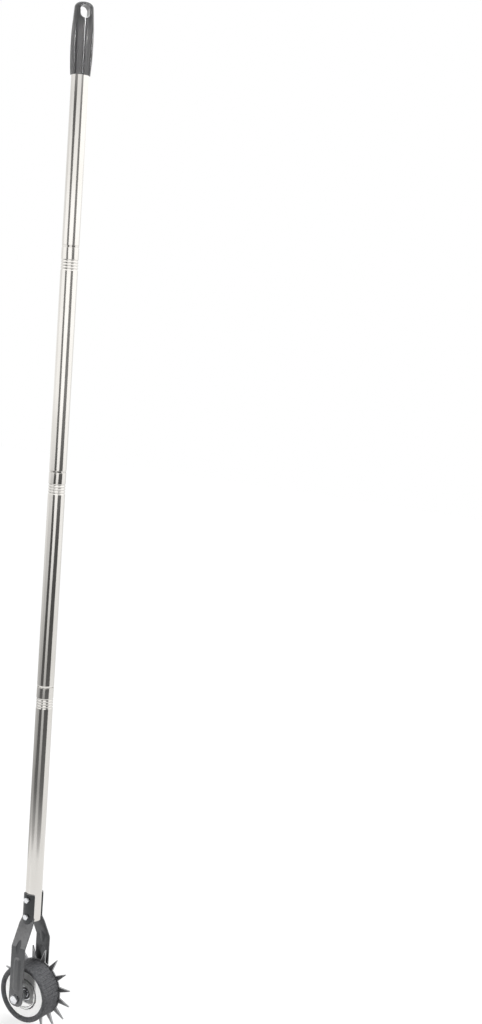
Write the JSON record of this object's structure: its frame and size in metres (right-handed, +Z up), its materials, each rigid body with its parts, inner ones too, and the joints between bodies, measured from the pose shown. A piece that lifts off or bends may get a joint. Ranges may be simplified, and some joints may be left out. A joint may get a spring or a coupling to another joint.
{
  "type": "rotary lawn edger",
  "caption": "Push-along lawn edger: a ribbed roller wheel with a spiked star blade turns in a fork at the foot of a jointed steel pole with a fluted end grip.",
  "frame": {"origin": "on the ground under the middle of the pole and the axle", "axes": "+Z up the pole, towards the grip; +Y along the axle, towards the star blade; X is the way the wheel rolls"},
  "size_m": [0.1258, 0.0739, 1.51],
  "materials": {
    "polished_steel": "polished stainless tube",
    "black_enamel": "semi-gloss black paint",
    "zinc_steel": "bright zinc plate",
    "bearing_steel": "ground bearing steel",
    "dark_steel": "dark blade steel",
    "grip_plastic": "moulded black plastic, fine satin",
    "white_plastic": "white moulded plastic",
    "tyre_rubber": "matt dark rubber",
    "seal_rubber": "matt black seal",
    "nylon": "natural nylon"
  },
  "bodies": {
    "handle": {"hand_grip": "grip_plastic", "upper_tube": "polished_steel", "upper_middle_tube": "polished_steel", "lower_middle_tube": "polished_steel", "lower_tube": "polished_steel", "near_fork_arm": "black_enamel", "far_fork_arm": "black_enamel", "fork_bolts": "zinc_steel", "fork_nuts": "zinc_steel", "axle_bolt": "zinc_steel", "axle_nut": "zinc_steel", "axle_nut_insert": "nylon", "near_axle_spacer": "zinc_steel", "far_axle_spacer": "zinc_steel", "hub_sleeve": "zinc_steel", "near_bearing_inner_race": "bearing_steel", "far_bearing_inner_race": "bearing_steel"},
    "wheel": {"wheel_core": "white_plastic", "tyre": "tyre_rubber", "star_blade": "dark_steel", "star_screws": "zinc_steel", "near_bearing_outer_race": "bearing_steel", "far_bearing_outer_race": "bearing_steel", "near_bearing_seals": "seal_rubber", "far_bearing_seals": "seal_rubber"},
    "near_ball_set": {"near_bearing_balls": "bearing_steel", "near_bearing_cage": "nylon"},
    "far_ball_set": {"far_bearing_balls": "bearing_steel", "far_bearing_cage": "nylon"}
  },
  "joints": [
    {"name": "wheel_spin", "type": "hinge", "parent": "handle", "child": "wheel", "pos_m": [0, 0, 0.06289], "axis": [0, 1, 0], "continuous": true},
    {"name": "near_balls_roll", "type": "hinge", "parent": "handle", "child": "near_ball_set", "pos_m": [0, 0, 0.06289], "axis": [0, 1, 0], "continuous": true},
    {"name": "far_balls_roll", "type": "hinge", "parent": "handle", "child": "far_ball_set", "pos_m": [0, 0, 0.06289], "axis": [0, 1, 0], "continuous": true}
  ],
  "couplings": [
    {"joint": "near_balls_roll", "follows": "wheel_spin", "ratio": 0.63227},
    {"joint": "far_balls_roll", "follows": "wheel_spin", "ratio": 0.63227}
  ]
}
